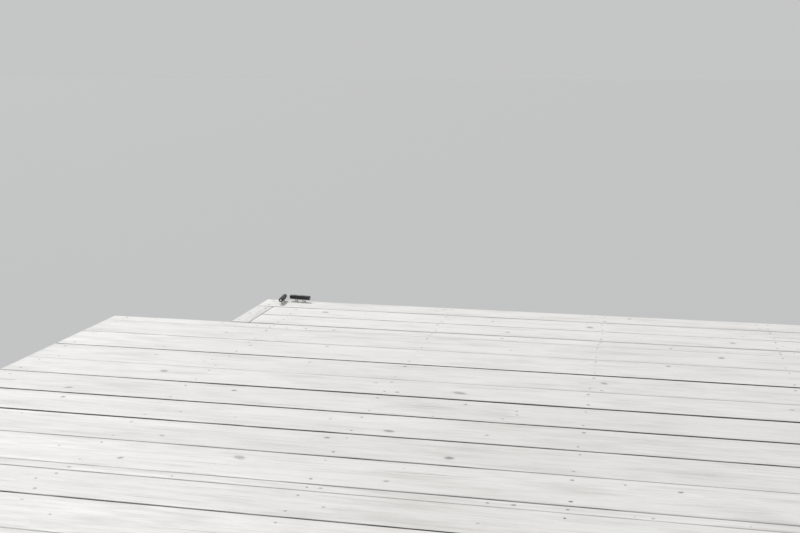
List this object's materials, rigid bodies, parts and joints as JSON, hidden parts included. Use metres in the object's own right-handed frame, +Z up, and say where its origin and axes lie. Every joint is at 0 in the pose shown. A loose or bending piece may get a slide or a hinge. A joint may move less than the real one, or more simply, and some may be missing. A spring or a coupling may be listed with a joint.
{
  "type": "wooden jetty",
  "caption": "Timber jetty with a wide plank deck, stepped in to a narrower head with mooring cleats, on joists, twin cap beams and braced round log piles.",
  "frame": {"origin": "level of the pile feet, under the middle of the deck's outline", "axes": "+Y along the jetty towards its head, +X to the right of someone looking that way, +Z up"},
  "size_m": [4.1, 10.283, 1.137],
  "materials": {
    "deck_planks": "bare, sun-bleached",
    "edge_boards": "bare, sun-bleached",
    "joists": "bare, weathered grey",
    "cap_beams": "bare, weathered grey",
    "log_piles": "bare, dark and damp",
    "braces": "bare, weathered grey",
    "cleat_iron": "black, worn"
  },
  "bodies": {
    "root": {"deck_planks_bay_1": "deck_planks", "deck_planks_bay_2": "deck_planks", "deck_planks_bay_3": "deck_planks", "deck_planks_bay_4": "deck_planks", "deck_planks_bay_5": "deck_planks", "end_plank": "deck_planks", "head_planks": "deck_planks", "head_edge_boards": "edge_boards", "front_cleat_left": "cleat_iron", "side_cleat_left": "cleat_iron", "joist_line_1": "joists", "joist_line_2": "joists", "joist_line_3": "joists", "joist_line_4": "joists", "joist_line_5": "joists", "joist_line_6": "joists", "head_side_joists": "joists", "head_header": "joists", "step_headers": "joists", "landward_header": "joists", "splice_plates": "joists", "cap_beams_bent_1": "cap_beams", "cap_beams_bent_2": "cap_beams", "cap_beams_bent_3": "cap_beams", "cap_beams_bent_4": "cap_beams", "cap_beams_bent_5": "cap_beams", "cap_beams_bent_6": "cap_beams", "piles_bent_1": "log_piles", "piles_bent_2": "log_piles", "piles_bent_3": "log_piles", "piles_bent_4": "log_piles", "piles_bent_5": "log_piles", "piles_bent_6": "log_piles", "cross_braces_bent_1": "braces", "cross_braces_bent_2": "braces", "cross_braces_bent_3": "braces", "cross_braces_bent_4": "braces", "cross_braces_bent_5": "braces", "cross_braces_bent_6": "braces", "side_braces_left": "braces", "side_braces_right": "braces"}
  },
  "joints": []
}
